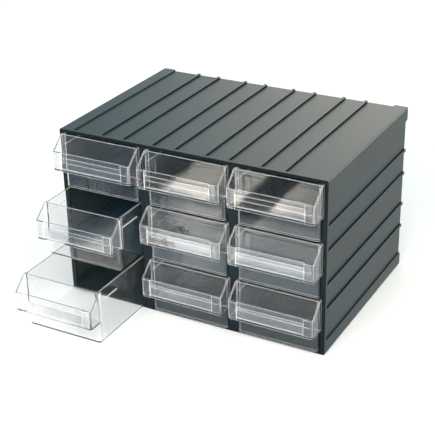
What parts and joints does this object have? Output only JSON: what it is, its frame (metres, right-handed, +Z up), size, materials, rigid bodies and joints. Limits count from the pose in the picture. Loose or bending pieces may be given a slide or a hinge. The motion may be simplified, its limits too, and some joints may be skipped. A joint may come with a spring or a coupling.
{
  "type": "parts organizer",
  "caption": "Small-parts organizer: ribbed plastic casing with clear slide-out drawers, each with a hopper-shaped handle and a label slot.",
  "frame": {"origin": "middle of the casing's flat underside, under the middle of its depth without the drawer fronts", "axes": "+X across the front towards the right column, -Y out of the front, the way the drawers slide, +Z up"},
  "size_m": [0.382, 0.3995, 0.24],
  "materials": {
    "casing": "satin dark grey polystyrene, fine mould grain",
    "cells": "satin dark grey polystyrene",
    "drawers": "clear polystyrene, polished"
  },
  "bodies": {
    "cabinet": {"casing": "casing", "back_panel": "casing", "left_partition": "cells", "right_partition": "cells", "shelf_upper_left": "cells", "shelf_upper_centre": "cells", "shelf_upper_right": "cells", "shelf_lower_left": "cells", "shelf_lower_centre": "cells", "shelf_lower_right": "cells"},
    "drawer_top_left_body": {"drawer_top_left": "drawers"},
    "drawer_top_centre_body": {"drawer_top_centre": "drawers"},
    "drawer_top_right_body": {"drawer_top_right": "drawers"},
    "drawer_middle_left_body": {"drawer_middle_left": "drawers"},
    "drawer_middle_centre_body": {"drawer_middle_centre": "drawers"},
    "drawer_middle_right_body": {"drawer_middle_right": "drawers"},
    "drawer_bottom_left_body": {"drawer_bottom_left": "drawers"},
    "drawer_bottom_centre_body": {"drawer_bottom_centre": "drawers"},
    "drawer_bottom_right_body": {"drawer_bottom_right": "drawers"}
  },
  "joints": [
    {"name": "slide_top_left", "type": "slide", "parent": "cabinet", "child": "drawer_top_left_body", "axis": [0, -1, 0], "range_m": [0, 0.2]},
    {"name": "slide_top_centre", "type": "slide", "parent": "cabinet", "child": "drawer_top_centre_body", "axis": [0, -1, 0], "range_m": [0, 0.2]},
    {"name": "slide_top_right", "type": "slide", "parent": "cabinet", "child": "drawer_top_right_body", "axis": [0, -1, 0], "range_m": [0, 0.2]},
    {"name": "slide_middle_left", "type": "slide", "parent": "cabinet", "child": "drawer_middle_left_body", "axis": [0, -1, 0], "range_m": [-0.048, 0.152]},
    {"name": "slide_middle_centre", "type": "slide", "parent": "cabinet", "child": "drawer_middle_centre_body", "axis": [0, -1, 0], "range_m": [0, 0.2]},
    {"name": "slide_middle_right", "type": "slide", "parent": "cabinet", "child": "drawer_middle_right_body", "axis": [0, -1, 0], "range_m": [0, 0.2]},
    {"name": "slide_bottom_left", "type": "slide", "parent": "cabinet", "child": "drawer_bottom_left_body", "axis": [0, -1, 0], "range_m": [-0.104, 0.096]},
    {"name": "slide_bottom_centre", "type": "slide", "parent": "cabinet", "child": "drawer_bottom_centre_body", "axis": [0, -1, 0], "range_m": [0, 0.2]},
    {"name": "slide_bottom_right", "type": "slide", "parent": "cabinet", "child": "drawer_bottom_right_body", "axis": [0, -1, 0], "range_m": [0, 0.2]}
  ]
}
